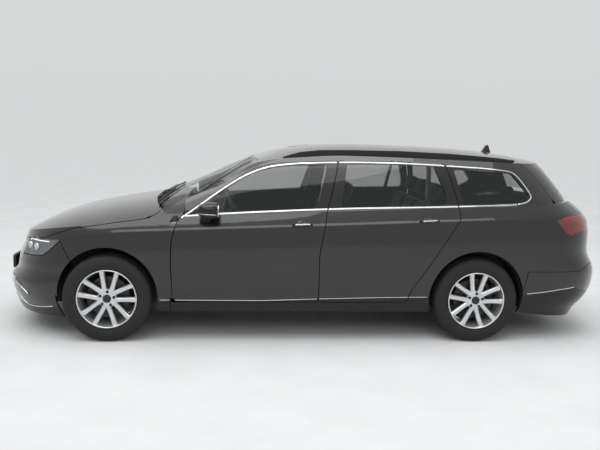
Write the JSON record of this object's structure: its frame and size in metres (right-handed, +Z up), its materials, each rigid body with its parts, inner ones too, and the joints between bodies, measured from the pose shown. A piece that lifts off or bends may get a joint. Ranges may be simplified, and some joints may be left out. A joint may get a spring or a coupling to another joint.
{
  "type": "station wagon",
  "caption": "Five-door station wagon with hinged doors, clamshell hood, lifting tailgate, steered front wheels, rolling tyres, seats, roof rails and a hollow cabin and load space.",
  "frame": {"origin": "on the ground, under the middle of the bounding box", "axes": "+X forward along the car's length, +Y to the car's left, +Z up"},
  "size_m": [4.7723, 2.083, 1.4947],
  "materials": {
    "car_paint": "metallic gloss",
    "clear_glass": "polished, green tint",
    "lamp_glass": "clear moulded lens over bright reflector",
    "tail_lens": "moulded red lens",
    "chrome": "polished",
    "tyre_rubber": "matte",
    "alloy": "satin lacquered",
    "disc_iron": "machined",
    "chassis_paint": "satin black",
    "bare_steel": "brushed",
    "engine_iron": "rough cast",
    "black_plastic": "grained",
    "seat_cloth": "woven",
    "rail_alloy": "anodised satin"
  },
  "bodies": {
    "car_body": {"body_side_left": "car_paint", "body_side_right": "car_paint", "roof_panel": "car_paint", "fender_left": "car_paint", "fender_right": "car_paint", "headlamps": "lamp_glass", "front_bumper": "car_paint", "grille": "chrome", "rear_bumper": "car_paint", "tail_lamps_outer": "tail_lens", "floor_pan": "chassis_paint", "front_structure": "chassis_paint", "engine_block": "engine_iron", "front_subframe": "chassis_paint", "rear_axle": "chassis_paint", "exhaust": "bare_steel", "roof_rails": "rail_alloy", "roof_antenna": "car_paint", "front_seats": "seat_cloth", "rear_bench": "seat_cloth", "seat_frames": "chassis_paint", "cowl_panel": "black_plastic", "dashboard": "black_plastic", "windscreen": "clear_glass", "quarter_glass": "clear_glass"},
    "hood": {"hood": "car_paint"},
    "tailgate": {"tailgate": "car_paint", "rear_window": "clear_glass", "tail_lamps_inner": "tail_lens"},
    "front_door_left": {"front_door_left": "car_paint", "front_door_glass_left": "clear_glass", "door_mirror_left": "car_paint"},
    "rear_door_left": {"rear_door_left": "car_paint", "rear_door_glass_left": "clear_glass"},
    "steering_knuckle_left": {"steering_knuckle_left": "chassis_paint"},
    "front_door_right": {"front_door_right": "car_paint", "front_door_glass_right": "clear_glass", "door_mirror_right": "car_paint"},
    "rear_door_right": {"rear_door_right": "car_paint", "rear_door_glass_right": "clear_glass"},
    "steering_knuckle_right": {"steering_knuckle_right": "chassis_paint"},
    "wheel_front_left": {"wheel_front_left": "alloy", "tyre_front_left": "tyre_rubber", "brake_disc_front_left": "disc_iron"},
    "wheel_front_right": {"wheel_front_right": "alloy", "tyre_front_right": "tyre_rubber", "brake_disc_front_right": "disc_iron"},
    "wheel_rear_left": {"wheel_rear_left": "alloy", "tyre_rear_left": "tyre_rubber", "brake_disc_rear_left": "disc_iron"},
    "wheel_rear_right": {"wheel_rear_right": "alloy", "tyre_rear_right": "tyre_rubber", "brake_disc_rear_right": "disc_iron"},
    "steering_wheel": {"steering_wheel": "black_plastic"}
  },
  "joints": [
    {"name": "hood_hinge", "type": "hinge", "parent": "car_body", "child": "hood", "pos_m": [1.08, 0, 1.02], "axis": [0, -1, 0], "range_deg": [0, 48]},
    {"name": "tailgate_hinge", "type": "hinge", "parent": "car_body", "child": "tailgate", "pos_m": [-1.597, 0, 1.436], "axis": [0, 1, 0], "range_deg": [0, 78]},
    {"name": "front_door_left_hinge", "type": "hinge", "parent": "car_body", "child": "front_door_left", "pos_m": [1.0205, 0.889, 0.6], "axis": [0, 0, -1], "range_deg": [0, 68]},
    {"name": "rear_door_left_hinge", "type": "hinge", "parent": "car_body", "child": "rear_door_left", "pos_m": [-0.11, 0.9, 0.6], "axis": [0, 0, -1], "range_deg": [0, 68]},
    {"name": "front_door_right_hinge", "type": "hinge", "parent": "car_body", "child": "front_door_right", "pos_m": [1.0205, -0.889, 0.6], "axis": [0, 0, 1], "range_deg": [0, 68]},
    {"name": "rear_door_right_hinge", "type": "hinge", "parent": "car_body", "child": "rear_door_right", "pos_m": [-0.11, -0.9, 0.6], "axis": [0, 0, 1], "range_deg": [0, 68]},
    {"name": "steering_left", "type": "hinge", "parent": "car_body", "child": "steering_knuckle_left", "pos_m": [1.5185, 0.712, 0.328], "axis": [0, 0, 1], "range_deg": [-34, 34]},
    {"name": "front_left_wheel_spin", "type": "hinge", "parent": "steering_knuckle_left", "child": "wheel_front_left", "pos_m": [1.5185, 0.792, 0.328], "axis": [0, 1, 0], "continuous": true},
    {"name": "rear_left_wheel_spin", "type": "hinge", "parent": "car_body", "child": "wheel_rear_left", "pos_m": [-1.2675, 0.784, 0.328], "axis": [0, 1, 0], "continuous": true},
    {"name": "steering_right", "type": "hinge", "parent": "car_body", "child": "steering_knuckle_right", "pos_m": [1.5185, -0.712, 0.328], "axis": [0, 0, 1], "range_deg": [-34, 34]},
    {"name": "front_right_wheel_spin", "type": "hinge", "parent": "steering_knuckle_right", "child": "wheel_front_right", "pos_m": [1.5185, -0.792, 0.328], "axis": [0, 1, 0], "continuous": true},
    {"name": "rear_right_wheel_spin", "type": "hinge", "parent": "car_body", "child": "wheel_rear_right", "pos_m": [-1.2675, -0.784, 0.328], "axis": [0, 1, 0], "continuous": true},
    {"name": "steering_wheel_turn", "type": "hinge", "parent": "car_body", "child": "steering_wheel", "pos_m": [0.585, 0.37, 0.9305], "axis": [-0.9063, 0, 0.4226], "range_deg": [-477, 477]}
  ],
  "couplings": [
    {"joint": "steering_right", "follows": "steering_left", "ratio": 1},
    {"joint": "steering_wheel_turn", "follows": "steering_left", "ratio": 14}
  ]
}
